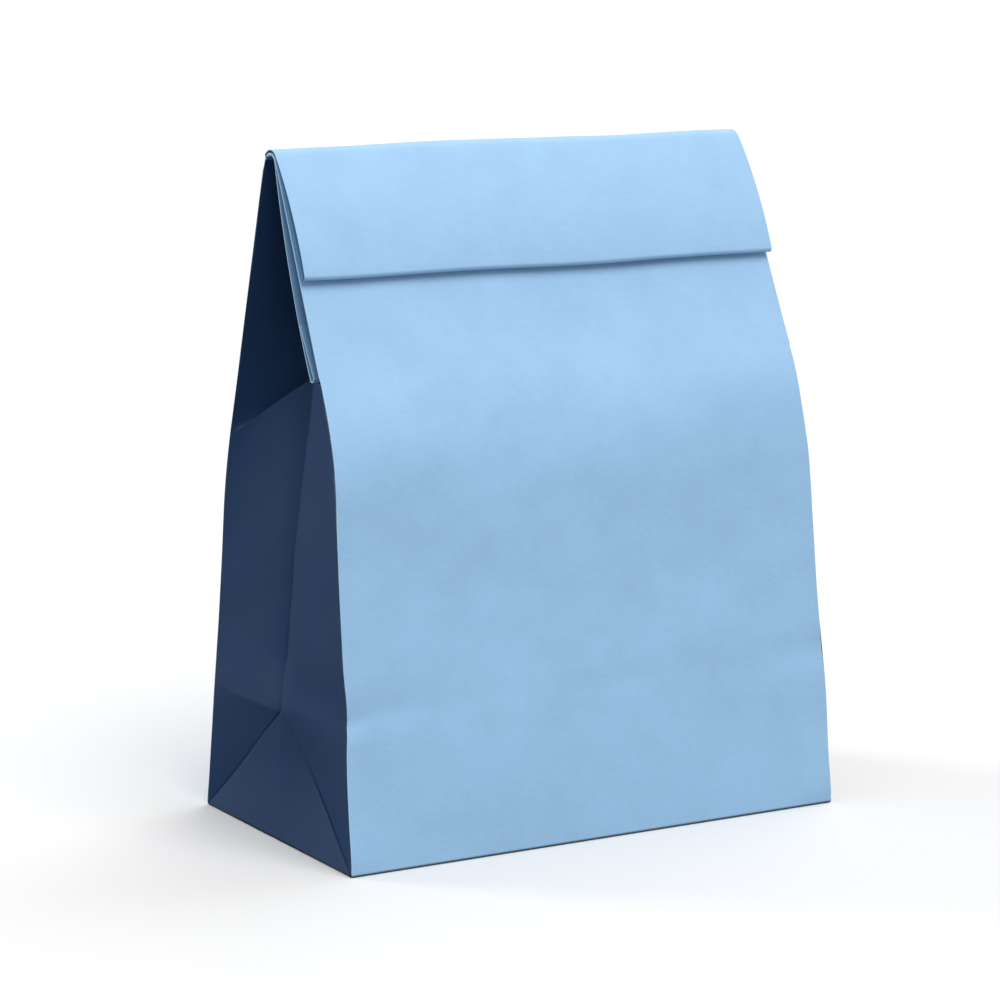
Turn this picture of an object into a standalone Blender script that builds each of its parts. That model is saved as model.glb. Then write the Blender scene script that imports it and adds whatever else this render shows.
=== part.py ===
# Paper lunch bag, stood up and folded shut.
#
# One sheet of paper makes the whole bag: a block bottom, a front and a back panel and two
# side gussets. The front panel is turned over inwards at the ridge and hangs down inside as
# a lip with a turned-up hem. The back panel passes over it as the flap, which is turned
# under on the front. Metres, +Z up, front towards -Y, the middle of the base at the origin.

import math

import bmesh
import bpy

# Paper
PAPER_THICKNESS = 0.00025

# Base
BASE_WIDTH = 0.152
BASE_DEPTH = 0.0856

# Ridge, the fold along the top
RIDGE_HEIGHT = 0.185
RIDGE_WIDTH = 0.1454
RIDGE_RADIUS = 0.004
RIDGE_SET_BACK = 0.0063
RIDGE_GAP = 0.00055

# Front and back panels, which lean in gently, then more above a soft knee
FRONT_KNEE_HEIGHT = 0.1114
FRONT_KNEE_SET_BACK = 0.0125
FRONT_KNEE_RADIUS = 0.100
BACK_KNEE_HEIGHT = 0.0955
BACK_KNEE_SET_BACK = 0.0103
BACK_KNEE_RADIUS = 0.160

# Flap, the end of the back panel, over the ridge and down the front
FLAP_TOP_LEAN = math.radians(38)
FLAP_LENGTH = 0.0345
FLAP_BOW_RADIUS = 0.115
FLAP_FOLD_RADIUS = 0.0010
FLAP_TURN_UNDER = 0.026

# Lip, the end of the front panel, back under the ridge and down inside
LIP_OVERLAP = math.radians(50)
LIP_FOLD_RADIUS = 0.0005
LIP_TOP_LEAN = math.radians(14.5)
LIP_LENGTH = 0.0578
LIP_BOW_RADIUS = 0.260
HEM_FOLD_RADIUS = 0.00105
HEM_LENGTH = 0.015

# Gussets, with the triangle that the folded bottom leaves on each
TRIANGLE_HEIGHT = 0.0352
TRIANGLE_TIP_INSET = 0.0013
DIAGONAL_SINK = 0.0010
BOTTOM_CREASE_FRONT_HEIGHT = 0.0411
BOTTOM_CREASE_BACK_HEIGHT = 0.0360
CREASE_WIDTH = 0.0016
BACK_FOLD_WIDTH = 0.0009

# Pleats, where the gussets turn inwards between the lip and the back panel
PLEAT_BACK_HEIGHT = 0.108
PLEAT_CREASE_DROP = 0.0032
PLEAT_START_INSET = 0.0105
PLEAT_END_INSET = 0.0410
PLEAT_TOP_DROP = 0.0070
PLEAT_LIP_GAP = 0.0006
PLEAT_EDGE_INSET = 0.0037
PLEAT_CREASE_SHARE = 0.35
SLIT_HEM_GAP = 0.0011

# How the inset of the gusset's centre crease grows on the way up, as powers of the share of the way
LOWER_INSET_CURVE = 1.4
PLEAT_INSET_CURVE = 2.2

# How finely bends and creases are divided, and how close the halves meet in the middle
BEND_STEP = math.radians(22)
BEND_RUN = 0.0065
GUSSET_ROWS = 7
PLEAT_ROWS = 8
FIRST_PLEAT_STEP = 0.6
MIDDLE_MERGE_DISTANCE = 0.00001

# Colours as they look in daylight, linear values
PRINTED_BLUE = (0.352, 0.565, 0.815, 1.0)
PRINTED_NAVY = (0.027, 0.051, 0.105, 1.0)
PAPER_ROUGHNESS = 0.62


class Trail:
    """The outer face of a panel, followed in side view as points (y, z).

    Its marks hold the leans and point numbers that the other panels need.
    """

    def __init__(self, start, lean):
        self.points = [start]
        self.lean = lean
        self.marks = {}

    def straight(self, length):
        y, z = self.points[-1]
        self.points.append((y + length * math.sin(self.lean), z + length * math.cos(self.lean)))

    def bend(self, radius, angle):
        """Turn towards +Y by a positive angle, or towards -Y by a negative one."""
        steps = max(2, math.ceil(abs(angle) / BEND_STEP), math.ceil(radius * abs(angle) / BEND_RUN))
        chord = 2 * radius * math.sin(abs(angle) / steps / 2)
        for _ in range(steps):
            self.lean += angle / steps / 2
            self.straight(chord)
            self.lean += angle / steps / 2

    def at_height(self, height):
        """The first point of the trail that is at a height."""
        for (y0, z0), (y1, z1) in zip(self.points, self.points[1:]):
            if z0 <= height <= z1:
                share = (height - z0) / (z1 - z0)
                return y0 + share * (y1 - y0), height
        raise ValueError("the panel doesn't reach that height")

    def above(self, height):
        """The points that follow the first one above a height."""
        for index, (_, z) in enumerate(self.points):
            if z > height:
                return self.points[index:]
        raise ValueError("the panel doesn't reach that height")


def mix(a, b, share):
    return a + (b - a) * share


def half_width(height):
    return mix(BASE_WIDTH, RIDGE_WIDTH, height / RIDGE_HEIGHT) / 2


def edge_point(y, z, inset=0.0):
    """A point on the left edge of a panel, or as far inside it as the inset."""
    return inset - half_width(z), y, z


def tangent_to_ridge(point, radius, side):
    """Lean and length of the line from a point that touches a circle at the ridge's middle."""
    y, z = point
    across = RIDGE_SET_BACK - y
    up = RIDGE_HEIGHT - RIDGE_RADIUS - z
    distance = math.hypot(across, up)
    lean = math.atan2(across, up) + side * math.asin(radius / distance)
    return lean, math.sqrt(distance ** 2 - radius ** 2)


def panel_to_ridge(start, knee, knee_radius, ridge_radius, side):
    """A panel from the base over its soft knee to where it meets the ridge."""
    lower_lean = math.atan2(knee[0] - start[0], knee[1] - start[1])
    lower_length = math.hypot(knee[0] - start[0], knee[1] - start[1])
    upper_lean, upper_length = tangent_to_ridge(knee, ridge_radius, side)
    turn = upper_lean - lower_lean
    cut = knee_radius * math.tan(abs(turn) / 2)
    trail = Trail(start, lower_lean)
    trail.straight(lower_length - cut)
    trail.bend(knee_radius, turn)
    trail.straight(upper_length - cut)
    return trail


def front_trail():
    """Up the front, over the ridge, back on itself and down inside to the hem."""
    start = (-BASE_DEPTH / 2, 0.0)
    knee = (-BASE_DEPTH / 2 + FRONT_KNEE_SET_BACK, FRONT_KNEE_HEIGHT)
    arch_radius = RIDGE_RADIUS - PAPER_THICKNESS - RIDGE_GAP
    trail = panel_to_ridge(start, knee, FRONT_KNEE_RADIUS, arch_radius, -1)
    trail.marks["upper_lean"] = trail.lean
    trail.bend(arch_radius, math.radians(90) + LIP_OVERLAP - trail.lean)
    trail.bend(LIP_FOLD_RADIUS, math.pi)
    trail.bend(arch_radius - 2 * LIP_FOLD_RADIUS, math.pi + LIP_TOP_LEAN - trail.lean)
    trail.bend(LIP_BOW_RADIUS, LIP_LENGTH / LIP_BOW_RADIUS)
    trail.marks["lip_end"] = len(trail.points) - 1
    trail.bend(HEM_FOLD_RADIUS, math.pi)
    trail.straight(HEM_LENGTH)
    return trail


def back_trail(front_upper_lean):
    """Up the back, over the ridge, down the front as the flap and up again behind it."""
    start = (BASE_DEPTH / 2, 0.0)
    knee = (BASE_DEPTH / 2 - BACK_KNEE_SET_BACK, BACK_KNEE_HEIGHT)
    trail = panel_to_ridge(start, knee, BACK_KNEE_RADIUS, RIDGE_RADIUS, 1)
    trail.bend(RIDGE_RADIUS, FLAP_TOP_LEAN - math.pi - trail.lean)
    trail.bend(FLAP_BOW_RADIUS, -FLAP_LENGTH / FLAP_BOW_RADIUS)
    trail.bend(FLAP_FOLD_RADIUS, front_upper_lean - 2 * math.pi - trail.lean)
    trail.straight(FLAP_TURN_UNDER)
    return trail


def lip_back_face(front, height):
    """How far back the hanging lip reaches at a height."""
    ridge_point = max(range(len(front.points)), key=lambda index: front.points[index][1])
    hanging = front.points[ridge_point:front.marks["lip_end"] + 1]
    for (y0, z0), (y1, z1) in zip(hanging, hanging[1:]):
        if z1 <= height <= z0:
            return mix(y0, y1, (z0 - height) / (z0 - z1))
    return hanging[-1][0]


def gusset_row(front_edge, crease_y, crease_z, inset, back_edge):
    """One row of a gusset, from its front edge over the centre crease to its back edge."""
    return [
        front_edge,
        edge_point(crease_y - CREASE_WIDTH / 2, crease_z, inset),
        edge_point(crease_y + CREASE_WIDTH / 2, crease_z, inset),
        (back_edge[0], back_edge[1] - BACK_FOLD_WIDTH, back_edge[2]),
        back_edge,
    ]


def lower_gusset_rows(front, back, slit_height, crease_top):
    """Rows from the bottom crease up to the slanted crease under the pleat."""
    rows = []
    for index in range(GUSSET_ROWS + 1):
        share = index / GUSSET_ROWS
        front_edge = edge_point(*front.at_height(mix(BOTTOM_CREASE_FRONT_HEIGHT, slit_height, share)))
        back_edge = edge_point(*back.at_height(mix(BOTTOM_CREASE_BACK_HEIGHT, PLEAT_BACK_HEIGHT, share)))
        crease_z = mix(TRIANGLE_HEIGHT, crease_top, share)
        inset = mix(TRIANGLE_TIP_INSET, PLEAT_START_INSET, share ** LOWER_INSET_CURVE)
        rows.append(gusset_row(front_edge, 0.0, crease_z, inset, back_edge))
    return rows


def pleat_rows(front, back, slit_height, crease_top):
    """Rows of the pleat, behind the lip, up to the open top of the gusset."""
    top = RIDGE_HEIGHT - PLEAT_TOP_DROP
    clearance = PAPER_THICKNESS + PLEAT_LIP_GAP
    rows = []
    for index in range(1, PLEAT_ROWS + 1):
        share = (index - FIRST_PLEAT_STEP) / (PLEAT_ROWS - FIRST_PLEAT_STEP)
        front_z = mix(slit_height, top, share)
        if index == 1:
            front_z = slit_height
        front_y = lip_back_face(front, front_z) + clearance
        back_edge = edge_point(*back.at_height(mix(PLEAT_BACK_HEIGHT, top, share)))
        crease_z = mix(crease_top, top, share)
        crease_y = mix(front_y, back_edge[1], PLEAT_CREASE_SHARE)
        inset = mix(PLEAT_START_INSET, PLEAT_END_INSET, 1 - (1 - share) ** PLEAT_INSET_CURVE)
        front_edge = edge_point(front_y, front_z, PLEAT_EDGE_INSET)
        rows.append(gusset_row(front_edge, crease_y, crease_z, inset, back_edge))
    return rows


def add_row(bm, points):
    return [bm.verts.new(point) for point in points]


def loft(bm, rows, material):
    """Join each row of vertices to the next with four-sided faces."""
    for lower, upper in zip(rows, rows[1:]):
        for index in range(len(lower) - 1):
            corners = (lower[index], lower[index + 1], upper[index + 1], upper[index])
            bm.faces.new(corners).material_index = material


def add_face(bm, corners, material):
    bm.faces.new(corners).material_index = material


def add_bottom_corner(bm, front_corner, back_corner, bottom_row):
    """The gusset below its bottom crease: the folded triangle and the two corners beside it."""
    front_edge, tip_front, tip_back, back_fold, back_edge = bottom_row

    def on_diagonal(corner, tip):
        middle = (corner.co + tip.co) / 2
        middle.x += DIAGONAL_SINK
        return bm.verts.new(middle)

    front_diagonal = on_diagonal(front_corner, tip_front)
    back_diagonal = on_diagonal(back_corner, tip_back)
    add_face(bm, (back_corner, front_corner, front_diagonal, back_diagonal), 1)
    add_face(bm, (back_diagonal, front_diagonal, tip_front, tip_back), 1)
    add_face(bm, (front_corner, front_edge, tip_front, front_diagonal), 1)
    add_face(bm, (back_corner, back_diagonal, back_fold), 1)
    add_face(bm, (back_diagonal, tip_back, back_fold), 1)
    add_face(bm, (back_corner, back_fold, back_edge), 1)


def left_half_of_sheet():
    """The outer face of the left half of the bag, open along the middle."""
    front = front_trail()
    back = back_trail(front.marks["upper_lean"])
    hem_bottom = min(z for _, z in front.points[front.marks["lip_end"]:])
    slit_height = hem_bottom - SLIT_HEM_GAP
    crease_top = slit_height - PLEAT_CREASE_DROP + SLIT_HEM_GAP
    bm = bmesh.new()

    lower = [add_row(bm, row) for row in lower_gusset_rows(front, back, slit_height, crease_top)]
    pleat_points = pleat_rows(front, back, slit_height, crease_top)
    pleat = [add_row(bm, row) for row in pleat_points]
    loft(bm, [row[::-1] for row in lower + pleat], 1)

    def panel_row(y, z, edge=None):
        return [bm.verts.new((0.0, y, z)), edge or bm.verts.new(edge_point(y, z))]

    front_foot = panel_row(*front.points[0])
    front_rows = [front_foot]
    front_rows += [panel_row(row[0].co.y, row[0].co.z, row[0]) for row in lower]
    front_rows += [panel_row(y, z) for y, z in front.above(slit_height)]
    loft(bm, [row[::-1] for row in front_rows], 0)

    back_foot = panel_row(*back.points[0])
    back_rows = [back_foot]
    back_rows += [panel_row(row[-1].co.y, row[-1].co.z, row[-1]) for row in lower + pleat]
    back_rows += [panel_row(y, z) for y, z in back.above(RIDGE_HEIGHT - PLEAT_TOP_DROP)]
    loft(bm, back_rows, 0)

    add_bottom_corner(bm, front_foot[1], back_foot[1], lower[0])
    add_face(bm, (back_foot[0], front_foot[0], front_foot[1], back_foot[1]), 0)
    return bm


def paper_material(name, colour):
    material = bpy.data.materials.new(name)
    material.use_nodes = True
    shader = material.node_tree.nodes["Principled BSDF"]
    shader.inputs["Base Color"].default_value = colour
    shader.inputs["Roughness"].default_value = PAPER_ROUGHNESS
    shader.inputs["Metallic"].default_value = 0.0
    return material


def build_paper_bag(collection):
    mesh = bpy.data.meshes.new("paper_bag")
    sheet = left_half_of_sheet()
    sheet.to_mesh(mesh)
    sheet.free()
    bag = bpy.data.objects.new("paper_bag", mesh)
    collection.objects.link(bag)
    mesh.materials.append(paper_material("printed_blue_paper", PRINTED_BLUE))
    mesh.materials.append(paper_material("printed_navy_paper", PRINTED_NAVY))

    mirror = bag.modifiers.new("both_halves", "MIRROR")
    mirror.use_axis = (True, False, False)
    mirror.merge_threshold = MIDDLE_MERGE_DISTANCE

    bag.modifiers.new("flat_facets", "TRIANGULATE")

    thickness = bag.modifiers.new("paper", "SOLIDIFY")
    thickness.thickness = PAPER_THICKNESS
    thickness.offset = -1.0
    thickness.use_even_offset = True
    return bag


def main():
    for existing in list(bpy.data.objects):
        bpy.data.objects.remove(existing, do_unlink=True)
    collection = bpy.data.collections.new("paper_lunch_bag")
    bpy.context.scene.collection.children.link(collection)
    build_paper_bag(collection)


main()
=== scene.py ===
import math

import bpy
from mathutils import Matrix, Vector, kdtree, noise


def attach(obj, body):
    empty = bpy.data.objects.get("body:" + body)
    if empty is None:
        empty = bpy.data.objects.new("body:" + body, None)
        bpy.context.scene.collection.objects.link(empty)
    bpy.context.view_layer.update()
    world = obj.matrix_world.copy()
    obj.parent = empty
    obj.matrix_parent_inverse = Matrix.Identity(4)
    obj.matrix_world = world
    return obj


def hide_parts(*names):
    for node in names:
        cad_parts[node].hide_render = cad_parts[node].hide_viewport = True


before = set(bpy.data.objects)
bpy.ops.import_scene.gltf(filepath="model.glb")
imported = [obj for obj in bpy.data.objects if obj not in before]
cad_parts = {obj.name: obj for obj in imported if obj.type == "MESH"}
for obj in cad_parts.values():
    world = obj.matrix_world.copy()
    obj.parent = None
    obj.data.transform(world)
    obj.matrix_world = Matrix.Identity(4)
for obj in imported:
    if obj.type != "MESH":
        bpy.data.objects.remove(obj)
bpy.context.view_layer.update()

# Sizes of the folded bag, in metres, as the part has them
PAPER_THICKNESS = 0.00025
BASE_WIDTH = 0.152
BASE_DEPTH = 0.0856
RIDGE_HEIGHT = 0.185
RIDGE_WIDTH = 0.1454
RIDGE_RADIUS = 0.004
RIDGE_SET_BACK = 0.0063
RIDGE_GAP = 0.00055
FRONT_KNEE_HEIGHT = 0.1114
FRONT_KNEE_SET_BACK = 0.0125
FRONT_KNEE_RADIUS = 0.100
BACK_KNEE_HEIGHT = 0.0955
BACK_KNEE_SET_BACK = 0.0103
BACK_KNEE_RADIUS = 0.160
FLAP_TOP_LEAN = math.radians(38)
FLAP_LENGTH = 0.0345
FLAP_BOW_RADIUS = 0.115
FLAP_FOLD_RADIUS = 0.0010
FLAP_TURN_UNDER = 0.026
LIP_OVERLAP = math.radians(38)
LIP_FOLD_RADIUS = 0.00028
LIP_TOP_LEAN = math.radians(14.5)
LIP_LENGTH = 0.0589
LIP_BOW_RADIUS = 0.260
HEM_FOLD_RADIUS = 0.00105
HEM_LENGTH = 0.015
HEM_CLOSING = math.radians(4.0)
TRIANGLE_HEIGHT = 0.0352
TRIANGLE_TIP_INSET = 0.0013
FRONT_DIAGONAL_SINK = (0.0029, 0.0050)
BACK_DIAGONAL_SINK = (0.0024, 0.0026)
BACK_CREASE_RISE = 0.0011
BACK_CREASE_REACH = 0.30
TRIANGLE_RIDGE = 0.0011
BOTTOM_CREASE_FRONT_HEIGHT = 0.0411
BOTTOM_CREASE_BACK_HEIGHT = 0.0360
CREASE_WIDTH = 0.0016
BACK_FOLD_WIDTH = 0.0009
CREASE_HOLLOW = 0.0018
HOLLOW_SET_BACK = 0.0027
PLEAT_CREASE_SET_BACK = 0.0010
HOLLOW_REACH_FRONT = 0.003
HOLLOW_REACH_BACK = 0.006
HOLLOW_OPENS_BY = 0.18
PLEAT_SHIFT_FROM = 0.6
PLEAT_BACK_HEIGHT = 0.106
PLEAT_CREASE_DROP = 0.0022
PLEAT_START_INSET = 0.0105
PLEAT_START_GROWTH = 1.4
PLEAT_END_INSET = 0.0410
PLEAT_FOLD_INSET = 0.0270
PLEAT_FOLD_DROP = 0.0035
FOLD_DROP_POWER = 4
PLEAT_INSET_POWER = 3
PLEAT_START_SHARE = 0.040
PLEAT_TURN_SHARES = (0.25, 0.5, 0.75)
PLEAT_TURN_DIP = 0.0005
PLEAT_TOP_DROP = 0.0028
PLEAT_CAP_DROPS = (0.0023, 0.0019, 0.0016)
PLEAT_CAP_CLEARANCE = 0.0002
PLEAT_LIP_GAP = 0.0006
PLEAT_EDGE_INSET = 0.0037
PLEAT_CREASE_SHARE = 0.35
SLIT_HEM_GAP = -0.00015

# How finely the sheet is divided
ROW_RUN = 0.0018
BEND_STEP = math.radians(12)
FOLD_MARGINS = (0.00035, 0.0010)
PANEL_COLUMNS = 84
HALF_GUSSET_COLUMNS = 20
TRIANGLE_COLUMNS = 24
CORNER_ROWS = 24
GUSSET_ROWS = 50
PLEAT_ROWS = 26

# The shortest length that is divided, and how near to each other points are when they become one
SHORTEST_SPAN = 1e-7
JOIN_DISTANCE = 0.00002

# Roundness of the fold round the base, and how high the sheet inside it lies to leave room for the laps
BASE_FOLD_RADIUS = 0.0007
BASE_LIFT = 0.0007

# How far wear reaches from a fold, how worn a fold is smoothed, and how deep a groove is
WEAR_REACH = 0.00055
SOFTENED_WEAR = 0.79
CREASE_GROOVE = 0.00018
GROOVE_SHARPNESS = 3

# Painted shadow on the first two rows above the base, and where up its length the front diagonal closes
BASE_ROW_PAINTED_SHADOWS = (1.0, 0.85)
DIAGONAL_CLOSES = (0.45, 0.75)

# Rows of the flap's turned fold that show no wear, at its start and at its end
UNWORN_FLAP_ROWS = (2, 4)

# Laps of the bottom: how far the front and back ones cross the middle, how high the side, front and
# back ones lie, half the width of a side one's tip, and how dark their cut edges are
LAP_OVERLAP = 0.011
LAP_HEIGHTS = (0.00042, 0.00027, 0.00002)
LAP_TIP = 0.0002
LAP_EDGE = 0.35
LAP_ROWS = 12
LAP_COLUMNS = 24

# Material slots of the outer faces, and how far on the slots of their cut edges and inner faces are
BLUE_SLOT = 0
NAVY_SLOT = 1
# The hem takes the inner paper, whose darker blue is painted shade
HEM_SLOT = 2
EDGE_SLOTS = 3
INNER_SLOTS = 6

# Crumple of the sheet: wavelength and height of each size of ripple, then the same of the soft sag and
# the part of the noise that each direction of it takes
RIPPLES = ((0.034, 0.00062), (0.015, 0.00026), (0.0075, 0.00010))
SAG_WAVELENGTH = 0.055
SAG = 0.0008
SAG_SHIFTS = (41.5, 21.0, 6.2)
SIDEWAYS_SAG = 0.3

# Where the crumple is weaker, and to what share of its height it falls there
BASE_CALM_HEIGHT = 0.030
BASE_CALM = 0.3
EDGE_CALM_REACH = 0.014
EDGE_CALM = 0.35
FLAP_CALM_HEIGHTS = (0.120, 0.160)
FLAP_CALM = 0.55
GUSSET_CALM = 0.8

# Swells and dents of the front panel, in millimetres: across, height, half width, half height, rise
FRONT_SHAPES = (
    (-58, 107, 24, 14, 1.3),
    (60, 119, 22, 11, 0.8),
    (5, 112, 34, 16, 0.5),
    (-76, 41.5, 20, 4.0, -0.55),
    (-75, 39.5, 5, 2.2, -0.35),
    (76, 43.5, 16, 4.0, -0.45),
    (0, 42.0, 60, 3.5, -0.10),
    (-30, 66, 26, 20, -0.5),
    (34, 84, 24, 18, -0.4),
    (10, 20, 30, 12, 0.4),
    (73, 4, 9, 7, 0.45),
    (-73, 5, 8, 8, 0.30),
)
FRONT_SHAPES_FADE = (0.125, 0.145)

# Pinches and bulges of the front edges, in millimetres: side, height, half height, shift outwards
EDGE_SHAPES = (
    (-1, 42, 7, -0.85),
    (1, 29, 16, 0.7),
    (1, 113, 16, -0.8),
)
EDGE_SHAPES_FROM_MIDDLE = (0.050, 0.070)
EDGE_SHAPES_FROM_FRONT = (-0.005, 0.020)
MILLIMETRE = 0.001


class Trail:
    """The outer face of a panel, followed in side view as points (y, z).

    Its marks hold the leans and point numbers that the other panels need.
    """

    def __init__(self, start, lean):
        self.points = [start]
        self.lean = lean
        self.marks = {}

    def straight(self, length):
        steps = max(1, math.ceil(length / ROW_RUN))
        run = length / steps
        for _ in range(steps):
            y, z = self.points[-1]
            self.points.append((y + run * math.sin(self.lean), z + run * math.cos(self.lean)))

    def bend(self, radius, angle):
        """Turn towards +Y by a positive angle, or towards -Y by a negative one."""
        steps = max(2, math.ceil(abs(angle) / BEND_STEP), math.ceil(radius * abs(angle) / ROW_RUN))
        chord = 2 * radius * math.sin(abs(angle) / steps / 2)
        for _ in range(steps):
            self.lean += angle / steps / 2
            self.straight(chord)
            self.lean += angle / steps / 2

    def at_height(self, height):
        """The first point of the trail that is at a height."""
        for (y0, z0), (y1, z1) in zip(self.points, self.points[1:]):
            if z0 <= height <= z1:
                return mix(y0, y1, (height - z0) / (z1 - z0)), height
        raise ValueError("the panel doesn't reach that height")

    def above(self, height):
        """The points that follow the first one above a height."""
        for index, (_, z) in enumerate(self.points):
            if z > height:
                return self.points[index:]
        raise ValueError("the panel doesn't reach that height")


def mix(a, b, share):
    return a + (b - a) * share


def smooth_step(value, low, high):
    """0 below low, 1 above high and a soft step between them."""
    share = min(1.0, max(0.0, (value - low) / (high - low)))
    return share * share * (3 - 2 * share)


def half_width(height):
    return mix(BASE_WIDTH, RIDGE_WIDTH, height / RIDGE_HEIGHT) / 2


def edge_point(y, z, inset=0.0):
    """A point on the left edge of a panel, or as far inside it as the inset."""
    return Vector((inset - half_width(z), y, z))


def tangent_to_ridge(point, radius, side):
    """Lean and length of the line from a point that touches a circle at the ridge's middle."""
    y, z = point
    across = RIDGE_SET_BACK - y
    up = RIDGE_HEIGHT - RIDGE_RADIUS - z
    distance = math.hypot(across, up)
    lean = math.atan2(across, up) + side * math.asin(radius / distance)
    return lean, math.sqrt(distance ** 2 - radius ** 2)


def panel_to_ridge(start, knee, knee_radius, ridge_radius, side):
    """A panel from the base over its soft knee to where it meets the ridge."""
    lower_lean = math.atan2(knee[0] - start[0], knee[1] - start[1])
    lower_length = math.hypot(knee[0] - start[0], knee[1] - start[1])
    upper_lean, upper_length = tangent_to_ridge(knee, ridge_radius, side)
    turn = upper_lean - lower_lean
    cut = knee_radius * math.tan(abs(turn) / 2)
    trail = Trail(start, lower_lean)
    trail.straight(lower_length - cut)
    trail.bend(knee_radius, turn)
    trail.straight(upper_length - cut)
    return trail


def front_trail():
    """Up the front, over the ridge, back on itself and down inside to the hem."""
    start = (-BASE_DEPTH / 2, 0.0)
    knee = (-BASE_DEPTH / 2 + FRONT_KNEE_SET_BACK, FRONT_KNEE_HEIGHT)
    arch_radius = RIDGE_RADIUS - PAPER_THICKNESS - RIDGE_GAP
    trail = panel_to_ridge(start, knee, FRONT_KNEE_RADIUS, arch_radius, -1)
    trail.marks["upper_lean"] = trail.lean
    trail.bend(arch_radius, math.radians(90) + LIP_OVERLAP - trail.lean)
    trail.bend(LIP_FOLD_RADIUS, math.pi)
    trail.bend(arch_radius - 2 * LIP_FOLD_RADIUS, math.pi + LIP_TOP_LEAN - trail.lean)
    trail.bend(LIP_BOW_RADIUS, LIP_LENGTH / LIP_BOW_RADIUS)
    trail.marks["lip_end"] = len(trail.points) - 1
    trail.bend(HEM_FOLD_RADIUS, math.pi + HEM_CLOSING)
    trail.straight(HEM_LENGTH)
    return trail


def back_trail(front_upper_lean):
    """Up the back, over the ridge, down the front as the flap and up again behind it."""
    start = (BASE_DEPTH / 2, 0.0)
    knee = (BASE_DEPTH / 2 - BACK_KNEE_SET_BACK, BACK_KNEE_HEIGHT)
    trail = panel_to_ridge(start, knee, BACK_KNEE_RADIUS, RIDGE_RADIUS, 1)
    trail.bend(RIDGE_RADIUS, FLAP_TOP_LEAN - math.pi - trail.lean)
    trail.bend(FLAP_BOW_RADIUS, -FLAP_LENGTH / FLAP_BOW_RADIUS)
    trail.marks["flap_end"] = len(trail.points) - 1
    trail.bend(FLAP_FOLD_RADIUS, front_upper_lean - 2 * math.pi - trail.lean)
    trail.marks["flap_turned"] = len(trail.points) - 1
    trail.straight(FLAP_TURN_UNDER)
    return trail


def lip_back_face(front, height):
    """How far back the hanging lip reaches at a height."""
    ridge_point = max(range(len(front.points)), key=lambda index: front.points[index][1])
    hanging = front.points[ridge_point:front.marks["lip_end"] + 1]
    for (y0, z0), (y1, z1) in zip(hanging, hanging[1:]):
        if z1 <= height <= z0:
            return mix(y0, y1, (z0 - height) / (z0 - z1))
    return hanging[-1][0]


def fold_shares(length, count):
    """Shares of a length, evenly spread but closer beside the fold at each end."""
    scale = min(1.0, length / (count * FOLD_MARGINS[-1]))
    margins = [margin * scale / length for margin in FOLD_MARGINS]
    inner = count - 2 * len(margins)
    middle = [mix(margins[-1], 1 - margins[-1], step / inner) for step in range(1, inner)]
    return [0.0, *margins, *middle, *(1 - share for share in reversed(margins)), 1.0]


def spread(start, end, count):
    """Points from a start to an end, closer beside the fold at each end."""
    length = max((end - start).length, SHORTEST_SPAN)
    return [start.lerp(end, share) for share in fold_shares(length, count)]


def raised_back_crease(row, first, nearness):
    """Lift the back half of a row outwards, by how near it is to the bottom crease."""
    span = len(row) - 1 - first
    rise = BACK_CREASE_RISE * max(0.0, nearness) ** 2
    for step, point in enumerate(row[first:]):
        point.x -= rise * math.sin(math.pi * step / span)
    return row


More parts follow.
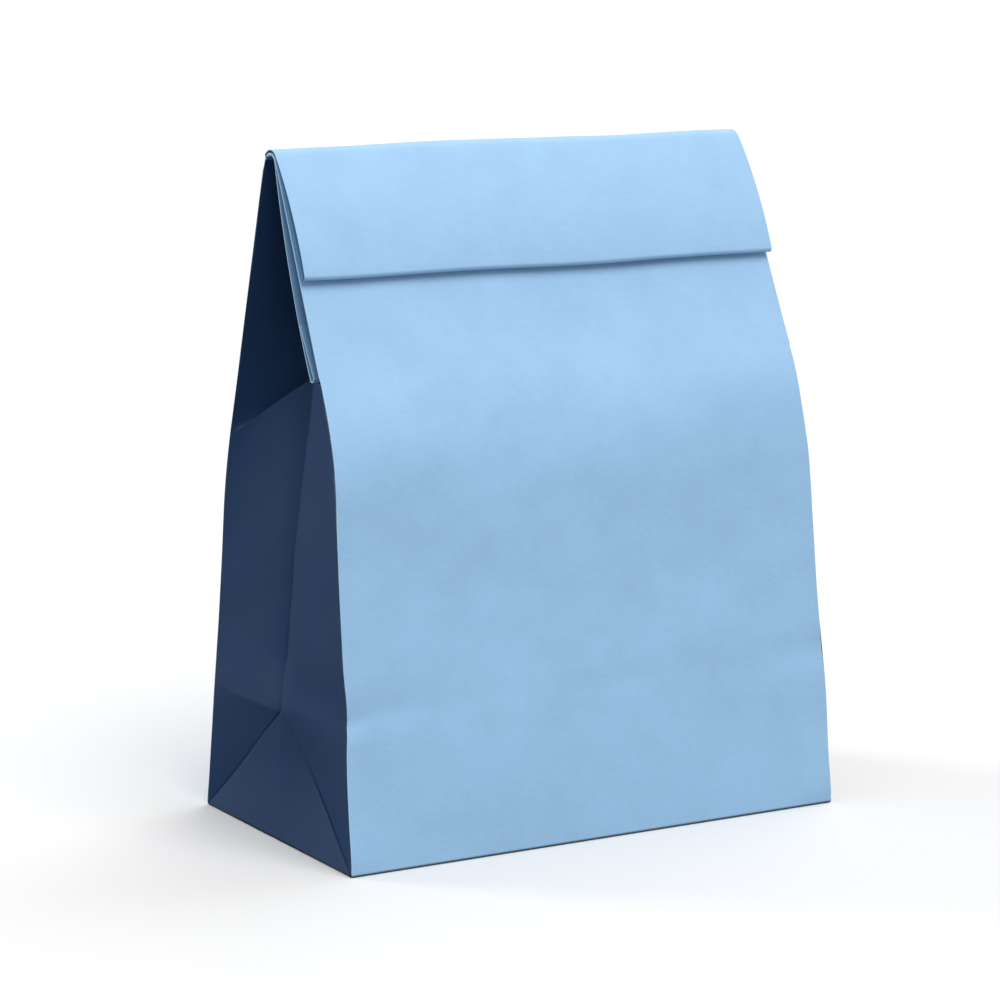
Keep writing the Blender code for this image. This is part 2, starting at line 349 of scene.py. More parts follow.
class Bag:
    """The places of the bag's panels, as rows of points that neighbours share."""

    def __init__(self):
        self.front = front_trail()
        self.back = back_trail(self.front.marks["upper_lean"])
        self.hem = self.front.points[self.front.marks["lip_end"]:]
        hem_bottom = min(z for _, z in self.hem)
        self.slit_height = hem_bottom - SLIT_HEM_GAP
        self.crease_top = self.slit_height - PLEAT_CREASE_DROP + SLIT_HEM_GAP
        self.pleat_top = RIDGE_HEIGHT - PLEAT_TOP_DROP
        self.corner_shares = fold_shares(BOTTOM_CREASE_FRONT_HEIGHT, CORNER_ROWS)
        gusset_length = self.slit_height - BOTTOM_CREASE_FRONT_HEIGHT
        self.gusset_shares = fold_shares(gusset_length, GUSSET_ROWS)

    def front_heights(self):
        crease = BOTTOM_CREASE_FRONT_HEIGHT
        corner = [share * crease for share in self.corner_shares]
        gusset = [mix(crease, self.slit_height, share) for share in self.gusset_shares]
        return corner + gusset[1:]

    def back_heights(self):
        crease = BOTTOM_CREASE_BACK_HEIGHT
        corner = [share * crease for share in self.corner_shares]
        gusset = [mix(crease, PLEAT_BACK_HEIGHT, share) for share in self.gusset_shares]
        pleat = [mix(PLEAT_BACK_HEIGHT, self.pleat_top, share) for share in self.pleat_shares()]
        return corner + gusset[1:] + pleat

    def pleat_shares(self):
        turn = [PLEAT_START_SHARE * share for share in PLEAT_TURN_SHARES]
        steps = range(PLEAT_ROWS + 1)
        return turn + [mix(PLEAT_START_SHARE, 1.0, step / PLEAT_ROWS) for step in steps]

    def front_edge(self, height):
        return edge_point(*self.front.at_height(height))

    def back_edge(self, height):
        return edge_point(*self.back.at_height(height))

    def panel_rows(self, trail_points):
        """Rows straight across a panel, from its left edge to its right edge."""
        rows = []
        for y, z in trail_points:
            left = edge_point(y, z)
            rows.append(spread(left, Vector((-left.x, y, z)), PANEL_COLUMNS))
        return rows

    def front_rows(self):
        lower = [self.front.at_height(height) for height in self.front_heights()]
        return self.panel_rows(lower + self.front.above(self.slit_height + ROW_RUN / 2))

    def back_rows(self):
        lower = [self.back.at_height(height) for height in self.back_heights()]
        return self.panel_rows(lower + self.back.above(self.pleat_top + ROW_RUN / 2))

    def base_rows(self):
        front_left = edge_point(-BASE_DEPTH / 2, 0.0)
        back_left = edge_point(BASE_DEPTH / 2, 0.0)
        rows = []
        for left in spread(back_left, front_left, TRIANGLE_COLUMNS):
            rows.append(spread(left, Vector((-left.x, left.y, 0.0)), PANEL_COLUMNS))
        return rows

    def gusset_row(self, front_edge, crease_y, crease_z, inset, back_edge, hollow):
        """One row of a gusset. The paper hollows towards the centre crease."""
        crease_front = edge_point(crease_y - CREASE_WIDTH / 2, crease_z, inset)
        crease_back = edge_point(crease_y + CREASE_WIDTH / 2, crease_z, inset)
        back_fold = back_edge - Vector((0.0, BACK_FOLD_WIDTH, 0.0))
        front_half = spread(front_edge, crease_front, HALF_GUSSET_COLUMNS)
        middle = [(crease_front + crease_back) / 2]
        back_half = spread(crease_back, back_fold, HALF_GUSSET_COLUMNS)
        row = front_half + middle + back_half
        for point in row:
            reach = HOLLOW_REACH_FRONT if point.y < crease_y else HOLLOW_REACH_BACK
            point.x += hollow * math.exp(-abs(point.y - crease_y) / reach)
        return row + [back_edge]

    def gusset_rows(self):
        """From the bottom crease up to the slanted crease, then up the pleat behind the lip."""
        rows = []
        for share in self.gusset_shares:
            front_edge = self.front_edge(mix(BOTTOM_CREASE_FRONT_HEIGHT, self.slit_height, share))
            back_edge = self.back_edge(mix(BOTTOM_CREASE_BACK_HEIGHT, PLEAT_BACK_HEIGHT, share))
            crease_z = mix(TRIANGLE_HEIGHT, self.crease_top, share)
            inset = mix(TRIANGLE_TIP_INSET, PLEAT_START_INSET, share ** PLEAT_START_GROWTH)
            opening = smooth_step(share, 0.0, HOLLOW_OPENS_BY)
            hollow = CREASE_HOLLOW * opening
            pleat_shift = PLEAT_CREASE_SET_BACK * smooth_step(share, PLEAT_SHIFT_FROM, 1.0)
            crease_y = HOLLOW_SET_BACK * opening + pleat_shift
            row = self.gusset_row(front_edge, crease_y, crease_z, inset, back_edge, hollow)
            nearness = 1 - share / BACK_CREASE_REACH
            rows.append(raised_back_crease(row, HALF_GUSSET_COLUMNS + 2, nearness))
        pleat_shares = self.pleat_shares()[len(PLEAT_TURN_SHARES):]
        pleat = [self.pleat_row(share) for share in pleat_shares]
        for share in PLEAT_TURN_SHARES:
            row = []
            for below, above in zip(rows[len(self.gusset_shares) - 1], pleat[0]):
                inwards = below.lerp(above, share ** 2)
                dip = PLEAT_TURN_DIP * math.sin(math.pi * share)
                row.append(Vector((inwards.x, inwards.y, mix(below.z, above.z, share) - dip)))
            row[-1] = self.back_edge(mix(PLEAT_BACK_HEIGHT, self.pleat_top, share * PLEAT_START_SHARE))
            rows.append(row)
        return rows + pleat + self.pleat_cap_rows()

    def pleat_row(self, share):
        """One row of the pleat behind the lip, by how far up it is."""
        rise = (share - PLEAT_START_SHARE) / (1 - PLEAT_START_SHARE)
        front_z = mix(self.slit_height, self.pleat_top, share) if rise > 0 else self.slit_height
        front_y = lip_back_face(self.front, front_z) + PAPER_THICKNESS + PLEAT_LIP_GAP
        back_edge = self.back_edge(mix(PLEAT_BACK_HEIGHT, self.pleat_top, share))
        drop = PLEAT_FOLD_DROP * (1 - rise) ** FOLD_DROP_POWER
        crease_z = mix(self.crease_top, self.pleat_top, share) - drop
        crease_y = mix(front_y, back_edge.y, PLEAT_CREASE_SHARE)
        inset = mix(PLEAT_FOLD_INSET, PLEAT_END_INSET, 1 - (1 - rise) ** PLEAT_INSET_POWER)
        front_edge = edge_point(front_y, front_z, PLEAT_EDGE_INSET)
        return self.gusset_row(front_edge, crease_y, crease_z, inset, back_edge, 0.0)

    def pleat_cap_rows(self):
        """The pleat closes to a blind arch under the rolled ridge."""
        arch = RIDGE_RADIUS - PAPER_THICKNESS - RIDGE_GAP - 2 * LIP_FOLD_RADIUS - PLEAT_CAP_CLEARANCE
        columns = 2 * HALF_GUSSET_COLUMNS + 3
        rows = []
        for drop in PLEAT_CAP_DROPS:
            height = RIDGE_HEIGHT - drop
            reach = math.sqrt(max(0.0, arch ** 2 - (RIDGE_RADIUS - drop) ** 2))
            front_edge = edge_point(RIDGE_SET_BACK - reach, height, PLEAT_EDGE_INSET)
            back_edge = edge_point(RIDGE_SET_BACK + reach, height, PLEAT_EDGE_INSET)
            shares = fold_shares(2 * reach, columns)
            rows.append([front_edge.lerp(back_edge, share) for share in shares])
        return rows

    def corner_rows(self):
        """The gusset below its bottom crease: the folded triangle between two facets."""
        front_corner = self.front_edge(0.0)
        back_corner = self.back_edge(0.0)
        tip_front = edge_point(-CREASE_WIDTH / 2, TRIANGLE_HEIGHT, TRIANGLE_TIP_INSET)
        tip_back = edge_point(CREASE_WIDTH / 2, TRIANGLE_HEIGHT, TRIANGLE_TIP_INSET)
        front_sink = Vector((*FRONT_DIAGONAL_SINK, 0.0))
        back_sink = Vector((*BACK_DIAGONAL_SINK, 0.0))
        rows = []
        for share in self.corner_shares:
            swell = math.sin(math.pi * share)
            front_diagonal = front_corner.lerp(tip_front, share) + front_sink * swell
            back_diagonal = back_corner.lerp(tip_back, share) + back_sink * swell
            front_edge = self.front_edge(share * BOTTOM_CREASE_FRONT_HEIGHT)
            back_edge = self.back_edge(share * BOTTOM_CREASE_BACK_HEIGHT)
            back_fold = back_edge - Vector((0.0, BACK_FOLD_WIDTH * share, 0.0))
            if share == 1.0:
                centre = (front_diagonal + back_diagonal) / 2
                quarter = TRIANGLE_COLUMNS // 4
                middle = [front_diagonal] * quarter + [centre] * (2 * quarter + 1)
                middle += [back_diagonal] * quarter
            else:
                middle = spread(front_diagonal, back_diagonal, TRIANGLE_COLUMNS)
                for step, point in enumerate(middle):
                    point.x -= TRIANGLE_RIDGE * swell * (1 - abs(2 * step / TRIANGLE_COLUMNS - 1))
            front_facet = spread(front_edge, front_diagonal, HALF_GUSSET_COLUMNS)
            back_facet = spread(back_diagonal, back_fold, HALF_GUSSET_COLUMNS)
            row = front_facet[:-1] + middle + back_facet[1:] + [back_edge]
            first = HALF_GUSSET_COLUMNS + TRIANGLE_COLUMNS
            nearness = (share - 1) / BACK_CREASE_REACH + 1
            rows.append(raised_back_crease(row, first, nearness))
        return rows

    def fold_marks(self):
        """Points along every fold, each with how worn and grooved it is and how much painted shade it
        gets.
        """
        gusset = self.gusset_rows()
        corner = self.corner_rows()
        lower = gusset[:len(self.gusset_shares)]
        centre = HALF_GUSSET_COLUMNS + 1
        front_diagonal = [row[HALF_GUSSET_COLUMNS] for row in corner]
        back_diagonal = [row[HALF_GUSSET_COLUMNS + TRIANGLE_COLUMNS] for row in corner]
        turned_from = self.back.marks["flap_end"] + UNWORN_FLAP_ROWS[0]
        turned_to = self.back.marks["flap_turned"] - UNWORN_FLAP_ROWS[1]
        marks = []

        def mark(points, wear=0.0, groove=0.0, painted_shade=0.0):
            for point in points:
                marks.append((point, wear, groove, painted_shade))
                marks.append((Vector((-point.x, point.y, point.z)), wear, groove, painted_shade))

        mark([row[0] for row in lower + corner], wear=1.0)
        mark([row[-1] for row in gusset + corner], wear=0.8)
        # Painted shadow: a dark line along the first two rows above the base, where the bag meets the
        # floor
        for row, painted_shade in enumerate(BASE_ROW_PAINTED_SHADOWS):
            mark(corner[row] + self.front_rows()[row] + self.back_rows()[row], painted_shade=painted_shade)
        # The centre crease gets a little wear, a groove and painted shade
        mark([row[centre] for row in gusset], wear=0.1, groove=0.8, painted_shade=0.3)
        mark(gusset[0][:centre - 1], wear=0.4, groove=0.5)
        mark(gusset[0][centre + 3:], wear=0.4, groove=0.3)
        mark([corner[2][0], corner[2][-1]], wear=1.1)
        # The corner diagonals are grooved and get painted shade, darkest where the front one is open
        for share, front_point, back_point in zip(self.corner_shares, front_diagonal, back_diagonal):
            opening = 1 - smooth_step(share, *DIAGONAL_CLOSES)
            mark([front_point], groove=mix(0.6, 2.0, opening), painted_shade=mix(0.10, 0.9, opening))
            mark([back_point], wear=0.2 * opening, groove=1.0, painted_shade=0.35)
        for row in self.panel_rows(self.back.points[turned_from:turned_to]):
            mark(row, wear=0.6)
        return marks


def mirrored(rows):
    """The same rows on the right-hand side of the bag, turned so that they still face outwards."""
    return [[Vector((-point.x, point.y, point.z)) for point in reversed(row)] for row in rows]


def fold_sheet(name, rows, papers, material_index, outer_layer=0.0, hem_row=None):
    """Add a flat grid of paper and fold it so that its rows lie where they are told."""
    columns = len(rows[0]) - 1
    bpy.ops.mesh.primitive_grid_add(x_subdivisions=columns, y_subdivisions=len(rows) - 1, size=1.0)
    sheet = bpy.context.active_object
    sheet.name = name
    vertices = sorted(sheet.data.vertices, key=lambda vertex: (round(vertex.co.y, 5), vertex.co.x))
    for index, vertex in enumerate(vertices):
        row, column = divmod(index, columns + 1)
        vertex.co = rows[row][column]
    for paper in papers:
        sheet.data.materials.append(paper)
    row_of = {vertex.index: index // (columns + 1) for index, vertex in enumerate(vertices)}
    for face in sheet.data.polygons:
        # Faces of the hem take the inner paper, darkened as painted shade
        on_hem = hem_row is not None and min(row_of[index] for index in face.vertices) >= hem_row
        face.material_index = HEM_SLOT if on_hem else material_index
    layer = sheet.data.attributes.new("outer_layer", "FLOAT", "POINT")
    layer.data.foreach_set("value", [outer_layer] * len(vertices))
    return sheet


def select_only(*pieces):
    bpy.ops.object.select_all(action="DESELECT")
    for piece in pieces:
        piece.select_set(True)
    bpy.context.view_layer.objects.active = pieces[0]


def join_sheets(sheets, closed):
    """Make one mesh of sheets that share edges. The faces of a closed one are all turned outwards."""
    select_only(*sheets)
    bpy.ops.object.join()
    bpy.ops.object.mode_set(mode="EDIT")
    bpy.ops.mesh.select_all(action="SELECT")
    bpy.ops.mesh.remove_doubles(threshold=JOIN_DISTANCE)
    if closed:
        bpy.ops.mesh.normals_make_consistent(inside=False)
    bpy.ops.object.mode_set(mode="OBJECT")
    return bpy.context.active_object


def folded_bag(papers):
    """Fold the panels from flat sheets, then join them along the edges that they share."""
    bag = Bag()
    front = bag.front_rows()
    back = [row[::-1] for row in bag.back_rows()]
    corner = [row[::-1] for row in bag.corner_rows()]
    gusset = [row[::-1] for row in bag.gusset_rows()]
    hem_row = len(front) - len(bag.hem)
    front_sheet = fold_sheet("folded_paper_bag", front, papers, BLUE_SLOT, 0.0, hem_row)
    back_sheet = fold_sheet("back_and_flap", back, papers, BLUE_SLOT, 1.0)
    base_sheet = fold_sheet("base", bag.base_rows(), papers, BLUE_SLOT)
    for face in base_sheet.data.polygons:
        if abs(face.center.x) > BASE_WIDTH / 2 - FOLD_MARGINS[-1]:
            face.material_index = NAVY_SLOT
    side_sheets = [
        fold_sheet("left_gusset", gusset, papers, NAVY_SLOT, 1.0),
        fold_sheet("left_corner", corner, papers, NAVY_SLOT),
        fold_sheet("right_gusset", mirrored(gusset), papers, NAVY_SLOT, 1.0),
        fold_sheet("right_corner", mirrored(corner), papers, NAVY_SLOT),
    ]
    piece = join_sheets([front_sheet, back_sheet, base_sheet, *side_sheets], closed=True)
    mark_folds(piece, bag)
    crumple(piece)
    return piece


def bottom_laps(papers):
    """The glued laps of the bottom: side triangles, then the front lap, then the back lap below."""
    side = BASE_WIDTH / 2 - BASE_FOLD_RADIUS
    depth = BASE_DEPTH / 2 - BASE_FOLD_RADIUS
    tip = side - depth
    side_height, front_height, back_height = LAP_HEIGHTS
    laps = []

    def lap(name, corners, height, slot):
        places = [Vector((x, y, height)) for x, y in corners]
        back_left, back_right, front_left, front_right = places
        starts = spread(back_left, front_left, LAP_ROWS)
        ends = spread(back_right, front_right, LAP_ROWS)
        rows = [spread(start, end, LAP_COLUMNS) for start, end in zip(starts, ends)]
        laps.append(fold_sheet(name, rows, papers, slot, LAP_EDGE))

    for turn in (-1, 1):
        outer = turn * side
        inner = turn * tip
        left_and_right = sorted((outer, inner))
        corners = [(x, depth if x == outer else LAP_TIP) for x in left_and_right]
        corners += [(x, -depth if x == outer else -LAP_TIP) for x in left_and_right]
        lap("side_lap", corners, side_height, NAVY_SLOT)
    middle = ((-tip, 0.0), (tip, 0.0))
    front_fold = ((-side, -depth), (side, -depth))
    front_end = ((-tip, LAP_OVERLAP), (tip, LAP_OVERLAP))
    back_fold = ((-side, depth), (side, depth))
    back_end = ((-tip, -LAP_OVERLAP), (tip, -LAP_OVERLAP))
    lap("front_lap_fold", (*middle, *front_fold), front_height, BLUE_SLOT)
    lap("front_lap_end", (*front_end, *middle), front_height, BLUE_SLOT)
    lap("back_lap_fold", (*back_fold, *middle), back_height, BLUE_SLOT)
    lap("back_lap_end", (*middle, *back_end), back_height, BLUE_SLOT)
    return join_sheets(laps, closed=False)


def round_base_fold(point):
    """Turn the sharp fold round the base into an arc that touches wall and base."""
    radius = BASE_FOLD_RADIUS
    if point.z >= radius:
        return point
    inner_x = BASE_WIDTH / 2 - radius
    inner_y = BASE_DEPTH / 2 - radius
    core_x = min(inner_x, max(-inner_x, point.x))
    core_y = min(inner_y, max(-inner_y, point.y))
    core = Vector((core_x, core_y, 0.0))
    out = Vector((point.x - core.x, point.y - core.y, 0.0))
    reach = min(radius, max(abs(out.x), abs(out.y)))
    if reach == 0.0:
        return point + Vector((0.0, 0.0, BASE_LIFT))
    on_base = point.z < radius / 100
    turn = math.pi / 4 * (reach / radius if on_base else 1 + point.z / radius)
    side = core + out * (radius * math.sin(turn) / reach)
    return Vector((side.x, side.y, radius - radius * math.cos(turn)))


def mark_folds(piece, bag):
    """Note on the sheet how worn and grooved it is beside the nearest fold, and its painted shade
    there.
    """
    marks = bag.fold_marks()
    tree = kdtree.KDTree(len(marks))
    for index, (point, *_) in enumerate(marks):
        tree.insert(point, index)
    tree.balance()
    values = []
    for vertex in piece.data.vertices:
        _, index, distance = tree.find(vertex.co)
        nearness = math.exp(-(distance / WEAR_REACH) ** 2)
        wear, groove, painted_shade = marks[index][1:]
        close = nearness ** GROOVE_SHARPNESS
        values.append((wear * nearness, groove * close, painted_shade * close))
    for name, column in zip(("fold", "groove", "painted_shade"), zip(*values)):
        piece.data.attributes.new(name, "FLOAT", "POINT").data.foreach_set("value", column)
    bpy.ops.object.mode_set(mode="EDIT")
    bpy.ops.mesh.select_all(action="DESELECT")
    bpy.ops.object.mode_set(mode="OBJECT")
    for vertex, (wear, *_) in zip(piece.data.vertices, values):
        vertex.select = wear > SOFTENED_WEAR
    bpy.ops.object.mode_set(mode="EDIT")
    bpy.ops.mesh.vertices_smooth(factor=1.0)
    bpy.ops.object.mode_set(mode="OBJECT")


def ripple(point):
    """Height of the crumple at a place."""
    return sum(height * noise.noise(point / length) for length, height in RIPPLES)


def soft_sag(point):
    """How far the whole sheet sags at a place, with its own part of the noise for each direction."""
    place = point / SAG_WAVELENGTH
    return SAG * Vector([noise.noise(place + Vector((shift, shift, shift))) for shift in SAG_SHIFTS])


def front_shape(point):
    """How far the swells and dents bring the front panel forward at a place."""
    rise = 0.0
    for across, height, half_across, half_height, swell in FRONT_SHAPES:
        x = (point.x / MILLIMETRE - across) / half_across
        z = (point.z / MILLIMETRE - height) / half_height
        rise += swell * MILLIMETRE * math.exp(-x * x - z * z)
    return rise * (1 - smooth_step(point.z, *FRONT_SHAPES_FADE))


def edge_shift(point):
    """How far the pinches and bulges of the front edges move a place sideways."""
    side = math.copysign(1.0, point.x)
    shift = 0.0
    for shape_side, height, half_height, outwards in EDGE_SHAPES:
        if side == shape_side:
            z = (point.z / MILLIMETRE - height) / half_height
            shift += outwards * MILLIMETRE * math.exp(-z * z)
    near_side = smooth_step(abs(point.x), *EDGE_SHAPES_FROM_MIDDLE)
    near_front = smooth_step(-point.y, *EDGE_SHAPES_FROM_FRONT)
    return Vector((side * shift * near_side * near_front, 0.0, 0.0))


def crumple(piece):
    """Sag the whole sheet softly and give every panel its ripples."""
    mesh = piece.data
    blue = set()
    for face in mesh.polygons:
        if face.material_index != NAVY_SLOT:
            blue.update(face.vertices)
    ridge_centre = Vector((0.0, RIDGE_SET_BACK, RIDGE_HEIGHT - RIDGE_RADIUS))
    moved = []
    groove = mesh.attributes["groove"].data
    for vertex in mesh.vertices:
        point = vertex.co.copy()
        if point.z < BASE_FOLD_RADIUS * 2:
            moved.append(round_base_fold(point))
            continue
        from_base = smooth_step(point.z, 0.0, BASE_CALM_HEIGHT)
        sag = soft_sag(point) * from_base
        sag.x *= SIDEWAYS_SAG
        height = ripple(point) * mix(BASE_CALM, 1.0, from_base)
        height -= CREASE_GROOVE * groove[vertex.index].value
        if vertex.index in blue:
            from_side = half_width(point.z) - abs(point.x)
            height *= mix(EDGE_CALM, 1.0, smooth_step(from_side, 0.0, EDGE_CALM_REACH))
            height *= mix(1.0, FLAP_CALM, smooth_step(point.z, *FLAP_CALM_HEIGHTS))
            if point.z > ridge_centre.z:
                out = point - ridge_centre
                out.x = 0.0
                out.normalize()
            else:
                out = Vector((0.0, 1.0 if point.y > RIDGE_SET_BACK else -1.0, 0.0))
            if point.y < 0.0:
                height += front_shape(point)
        else:
            out = Vector((math.copysign(1.0, point.x), 0.0, 0.0))
            height *= GUSSET_CALM
        moved.append(point + sag + out * height + edge_shift(point))
    for vertex, place in zip(mesh.vertices, moved):
        vertex.co = place


class Finish:
    """A material whose nodes are joined by Python expressions."""

    def __init__(self, name):
        self.material = bpy.data.materials.new(name)
        self.material.use_nodes = True
        self.tree = self.material.node_tree
        self.shader = self.tree.nodes["Principled BSDF"]

    def node(self, kind, settings, inputs, output=0):
        """One node: its settings first, then the values or links of its sockets."""
        made = self.tree.nodes.new(kind)
        for setting, value in settings.items():
            setattr(made, setting, value)
        for socket, value in inputs.items():
            if isinstance(value, Wire):
                self.tree.links.new(value.socket, made.inputs[socket])
            else:
                made.inputs[socket].default_value = value
        return Wire(self, made.outputs[output])

    def noise(self, scale, detail=2.0, roughness=0.5, vector=None):
        inputs = {"Scale": scale, "Detail": detail, "Roughness": roughness}
        inputs["Vector"] = vector or self.place()
        return self.node("ShaderNodeTexNoise", {}, inputs)

    def place(self):
        return self.node("ShaderNodeTexCoord", {}, {}, "Object")

    def attribute(self, name):
        """A number that the mesh holds for each of its points."""
        return self.node("ShaderNodeAttribute", {"attribute_name": name}, {}, "Fac")

    def stretched(self, scale):
        """The place on the object, with its three directions scaled on their own."""
        return self.node("ShaderNodeVectorMath", {"operation": "MULTIPLY"}, {0: self.place(), 1: scale})

    def smooth(self, value, low, high):
        """0 below low, 1 above high and a soft step between them."""
        settings = {"interpolation_type": "SMOOTHSTEP", "clamp": True}
        return self.node("ShaderNodeMapRange", settings, {0: value, 1: low, 2: high, 3: 0.0, 4: 1.0})

    def blend(self, factor, first, second):
        settings = {"data_type": "RGBA"}
        return self.node("ShaderNodeMix", settings, {0: factor, 6: first, 7: second}, 2)

    def feed(self, socket, value):
        if isinstance(value, Wire):
            self.tree.links.new(value.socket, self.shader.inputs[socket])
        else:
            self.shader.inputs[socket].default_value = value


class Wire:
    """A node's output that takes part in sums, each of which adds a Math node."""

    def __init__(self, finish, socket):
        self.finish = finish
        self.socket = socket

    def math(self, operation, first, second):
        return self.finish.node("ShaderNodeMath", {"operation": operation}, {0: first, 1: second})

    def __add__(self, other):
        return self.math("ADD", self, other)

    def __mul__(self, other):
        return self.math("MULTIPLY", self, other)

    __radd__ = __add__
    __rmul__ = __mul__


# Paper colours in daylight, as linear values
PRINTED_BLUE = (0.331, 0.566, 0.832, 1.0)
PRINTED_NAVY = (0.0137, 0.0400, 0.1050, 1.0)
CUT_EDGE = (0.50, 0.68, 0.86, 1.0)
OUTER_EDGE = (0.06, 0.13, 0.24, 1.0)
WORN_FOLD = (0.55, 0.72, 0.90, 1.0)
# The inner paper is the printed blue darkened as painted shade, for the hem and the inner faces
INNER_PAPER_PAINTED_SHADE = (0.20, 0.38, 0.57, 1.0)

# How many ripples of each texture fit in a metre
CLOUD_SCALE = 55.0
FIBRE_STRETCH = (420.0, 420.0, 1400.0)
FLECK_SCALE = 900.0
RUB_SCALE = 330.0
DIMPLE_SCALE = 140.0
GRAIN_SCALE = 1500.0
EDGE_FIBRE_SCALE = 1800.0
BUMP_DISTANCE = 0.00018


def shade_of(colour, factor):
    """A darker or lighter shade of a colour."""
    return tuple(channel * factor for channel in colour[:3]) + (1.0,)


def printed_paper(name, colour, worn, gloss, roughness):
    """Matt printed bag paper: cloudy fibre, faint grain, a lighter core where folds have worn, painted
    crease shade.
    """
    finish = Finish(name)
    clouds = finish.noise(CLOUD_SCALE, detail=3.0, roughness=0.6)
    fibre = finish.noise(1.0, detail=3.0, roughness=0.65, vector=finish.stretched(FIBRE_STRETCH))
    flecks = finish.smooth(finish.noise(FLECK_SCALE), low=0.66, high=0.74)
    rub_noise = finish.noise(RUB_SCALE, detail=3.0, roughness=0.7)
    rub = finish.smooth(rub_noise * 0.55 + finish.attribute("fold") * 0.75, low=0.78, high=1.02)
    tone = finish.smooth(clouds * 0.6 + fibre * 0.4, low=0.30, high=0.70)
    body = finish.blend(tone, shade_of(colour, 0.955), shade_of(colour, 1.045))
    flecked = finish.blend(flecks * 0.35, body, shade_of(colour, 0.86))
    rubbed = finish.blend(rub * worn, flecked, WORN_FOLD)
    # Painted shade: the base colour darkens to an eighth of itself along the creases and the bottom
    # rows
    crease = finish.smooth(finish.attribute("painted_shade"), low=0.10, high=1.0)
    finish.feed("Base Color", finish.blend(crease, rubbed, shade_of(colour, 0.12)))
    finish.feed("Roughness", roughness + fibre * 0.10 + rub * 0.08)
    finish.feed("Specular IOR Level", gloss)
    grain = finish.noise(GRAIN_SCALE, detail=2.0, roughness=0.6)
    dimples = finish.noise(DIMPLE_SCALE, detail=3.0, roughness=0.6)
    height = fibre * 0.35 + grain * 0.25 + dimples * 0.9
    bump = {"Strength": 0.30, "Distance": BUMP_DISTANCE, "Height": height}
    finish.feed("Normal", finish.node("ShaderNodeBump", {}, bump))
    return finish.material


def cut_edge_paper():
    """The cut edge of the paper: a pale core, which is dark on the outermost layer."""
    finish = Finish("cut_paper_edge")
    fibre = finish.noise(EDGE_FIBRE_SCALE, detail=2.0, roughness=0.6)
    pale = finish.blend(fibre, shade_of(CUT_EDGE, 0.85), CUT_EDGE)
    finish.feed("Base Color", finish.blend(finish.attribute("outer_layer"), pale, OUTER_EDGE))
    finish.feed("Roughness", 0.75 + fibre * 0.15)
    finish.feed("Specular IOR Level", 0.25)
    return finish.material


def give_thickness(piece):
    """Paper thickness on the inside, with the painted-shade inner paper there and the cut edge round
    the rim.
    """
    wall = piece.modifiers.new("paper", "SOLIDIFY")
    wall.thickness = PAPER_THICKNESS
    wall.offset = -1.0
    wall.use_even_offset = False
    wall.material_offset = INNER_SLOTS
    wall.material_offset_rim = EDGE_SLOTS
    select_only(piece)
    bpy.ops.object.modifier_apply(modifier=wall.name)


# The floor and the world, each with a grey that the camera sees and a darker one that lights the bag
FLOOR_SIZE = 60.0
FLOOR_SEEN = (0.80, 0.80, 0.80, 1.0)
FLOOR_LIGHT = (0.30, 0.30, 0.30, 1.0)
WORLD_SEEN = 1.0
WORLD_LIGHT = 0.46


def studio_floor():
    bpy.ops.mesh.primitive_plane_add(size=FLOOR_SIZE, location=(0.0, 0.0, 0.0))
    floor = bpy.context.active_object
    floor.name = "studio_floor"
    finish = Finish("studio_floor_white")
    finish.feed("Roughness", 1.0)
    finish.feed("Specular IOR Level", 0.0)
    finish.feed("Base Color", FLOOR_LIGHT)
    seen = finish.node("ShaderNodeLightPath", {}, {}, "Is Camera Ray")
    bright = finish.node("ShaderNodeBsdfDiffuse", {}, {"Color": FLOOR_SEEN})
    plain = Wire(finish, finish.shader.outputs[0])
    shown = finish.node("ShaderNodeMixShader", {}, {0: seen, 1: plain, 2: bright})
    output = finish.tree.nodes["Material Output"]
    finish.tree.links.new(shown.socket, output.inputs["Surface"])
    floor.data.materials.append(finish.material)


def white_surroundings():
    world = bpy.data.worlds.new("white_surroundings")
    bpy.context.scene.world = world
    world.use_nodes = True
    tree = world.node_tree
    light = tree.nodes["Background"]
    light.inputs["Color"].default_value = (1.0, 1.0, 1.0, 1.0)
    light.inputs["Strength"].default_value = WORLD_LIGHT
    seen = tree.nodes.new("ShaderNodeBackground")
    seen.inputs["Strength"].default_value = WORLD_SEEN
    path = tree.nodes.new("ShaderNodeLightPath")
    choice = tree.nodes.new("ShaderNodeMixShader")
    tree.links.new(path.outputs["Is Camera Ray"], choice.inputs[0])
    tree.links.new(light.outputs[0], choice.inputs[1])
    tree.links.new(seen.outputs[0], choice.inputs[2])
    tree.links.new(choice.outputs[0], tree.nodes["World Output"].inputs["Surface"])


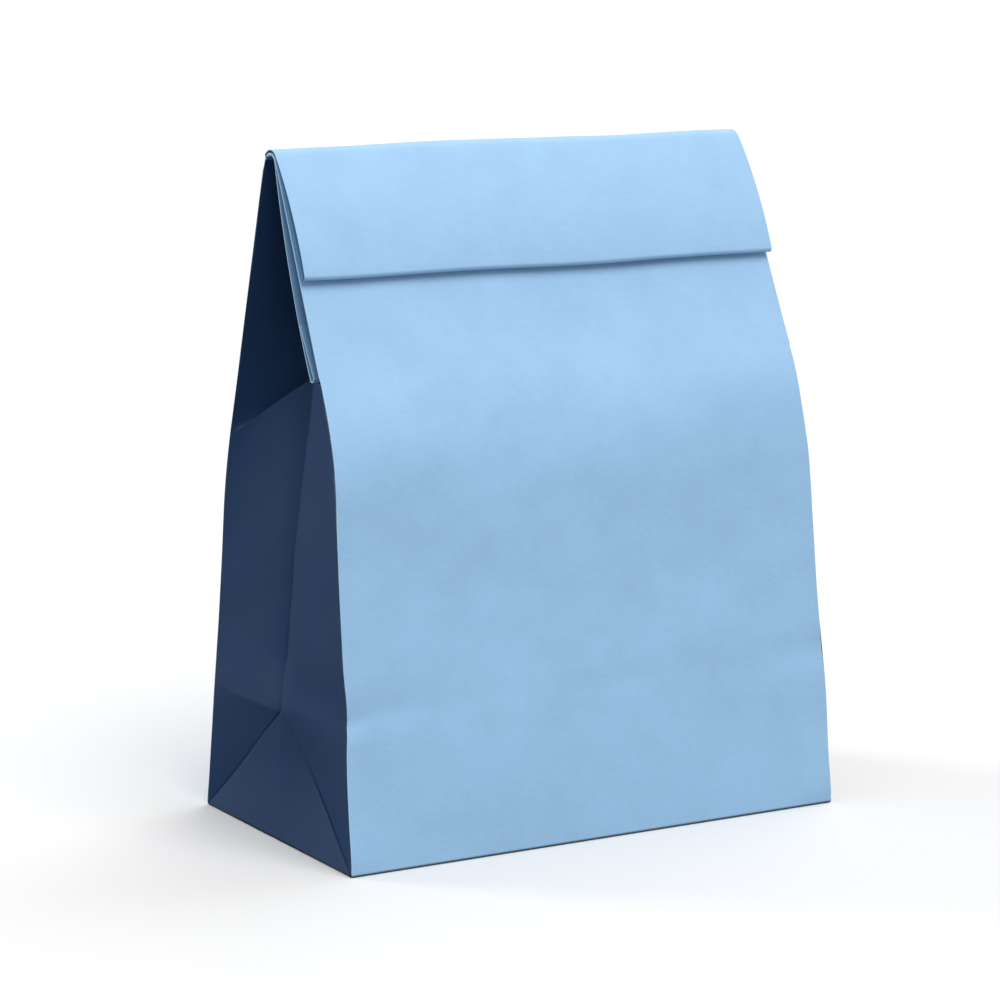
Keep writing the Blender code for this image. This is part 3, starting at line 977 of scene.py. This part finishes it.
def soft_sun(name, strength, azimuth, elevation, width):
    """A broad lamp, width degrees wide. Azimuth 0 shines from the front and 90 from the left."""
    lamp = bpy.data.lights.new(name, "SUN")
    lamp.energy = strength
    lamp.angle = math.radians(width)
    sun = bpy.data.objects.new(name, lamp)
    bpy.context.scene.collection.objects.link(sun)
    turn = math.radians(azimuth)
    rise = math.radians(elevation)
    level = math.cos(rise)
    source = Vector((-math.sin(turn) * level, -math.cos(turn) * level, math.sin(rise)))
    sun.rotation_euler = source.to_track_quat("Z", "Y").to_euler()


# The camera's place and direction, found from the bag's outline in the photograph
CAMERA_PLACE = (-0.49794, -0.83887, 0.26100)
CAMERA_YAW = math.radians(30.347)
CAMERA_PITCH = math.radians(10.160)
CAMERA_ROLL = math.radians(-0.08)
CAMERA_LENS = 129.6
CAMERA_SENSOR = 36.0
CAMERA_CLIP = (0.05, 100.0)

# Faces that meet at less than this are shaded as one surface
SMOOTH_ANGLE = math.radians(50)


def photo_camera():
    camera = bpy.data.cameras.new("camera")
    camera.lens = CAMERA_LENS
    camera.sensor_width = CAMERA_SENSOR
    camera.clip_start, camera.clip_end = CAMERA_CLIP
    holder = bpy.data.objects.new("camera", camera)
    bpy.context.scene.collection.objects.link(holder)
    holder.location = CAMERA_PLACE
    holder.rotation_euler = (math.radians(90) - CAMERA_PITCH, CAMERA_ROLL, -CAMERA_YAW)
    bpy.context.scene.camera = holder


bpy.context.scene.view_settings.view_transform = "Standard"
photo_camera()
white_surroundings()
soft_sun("key", strength=2.12, azimuth=-2.0, elevation=56.0, width=44.0)
soft_sun("side", strength=1.65, azimuth=138.0, elevation=12.0, width=20.0)
soft_sun("rear", strength=0.9, azimuth=-120.0, elevation=45.0, width=50.0)
studio_floor()

blue_paper = printed_paper("printed_blue_paper", PRINTED_BLUE, worn=0.5, gloss=0.5, roughness=0.48)
navy_paper = printed_paper("printed_navy_paper", PRINTED_NAVY, worn=0.14, gloss=0.06, roughness=0.55)
inner_paper_painted_shade = printed_paper("inner_paper_painted_shade", INNER_PAPER_PAINTED_SHADE, worn=0.2, gloss=0.2, roughness=0.65)
cut_edge = cut_edge_paper()
papers = (blue_paper, navy_paper, inner_paper_painted_shade) + (cut_edge,) * 3 + (inner_paper_painted_shade,) * 3
paper_bag = folded_bag(papers)
laps = bottom_laps(papers)
select_only(paper_bag, laps)
bpy.ops.object.join()
give_thickness(paper_bag)
bpy.ops.object.shade_smooth_by_angle(angle=SMOOTH_ANGLE)
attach(paper_bag, "root")
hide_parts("paper_bag")
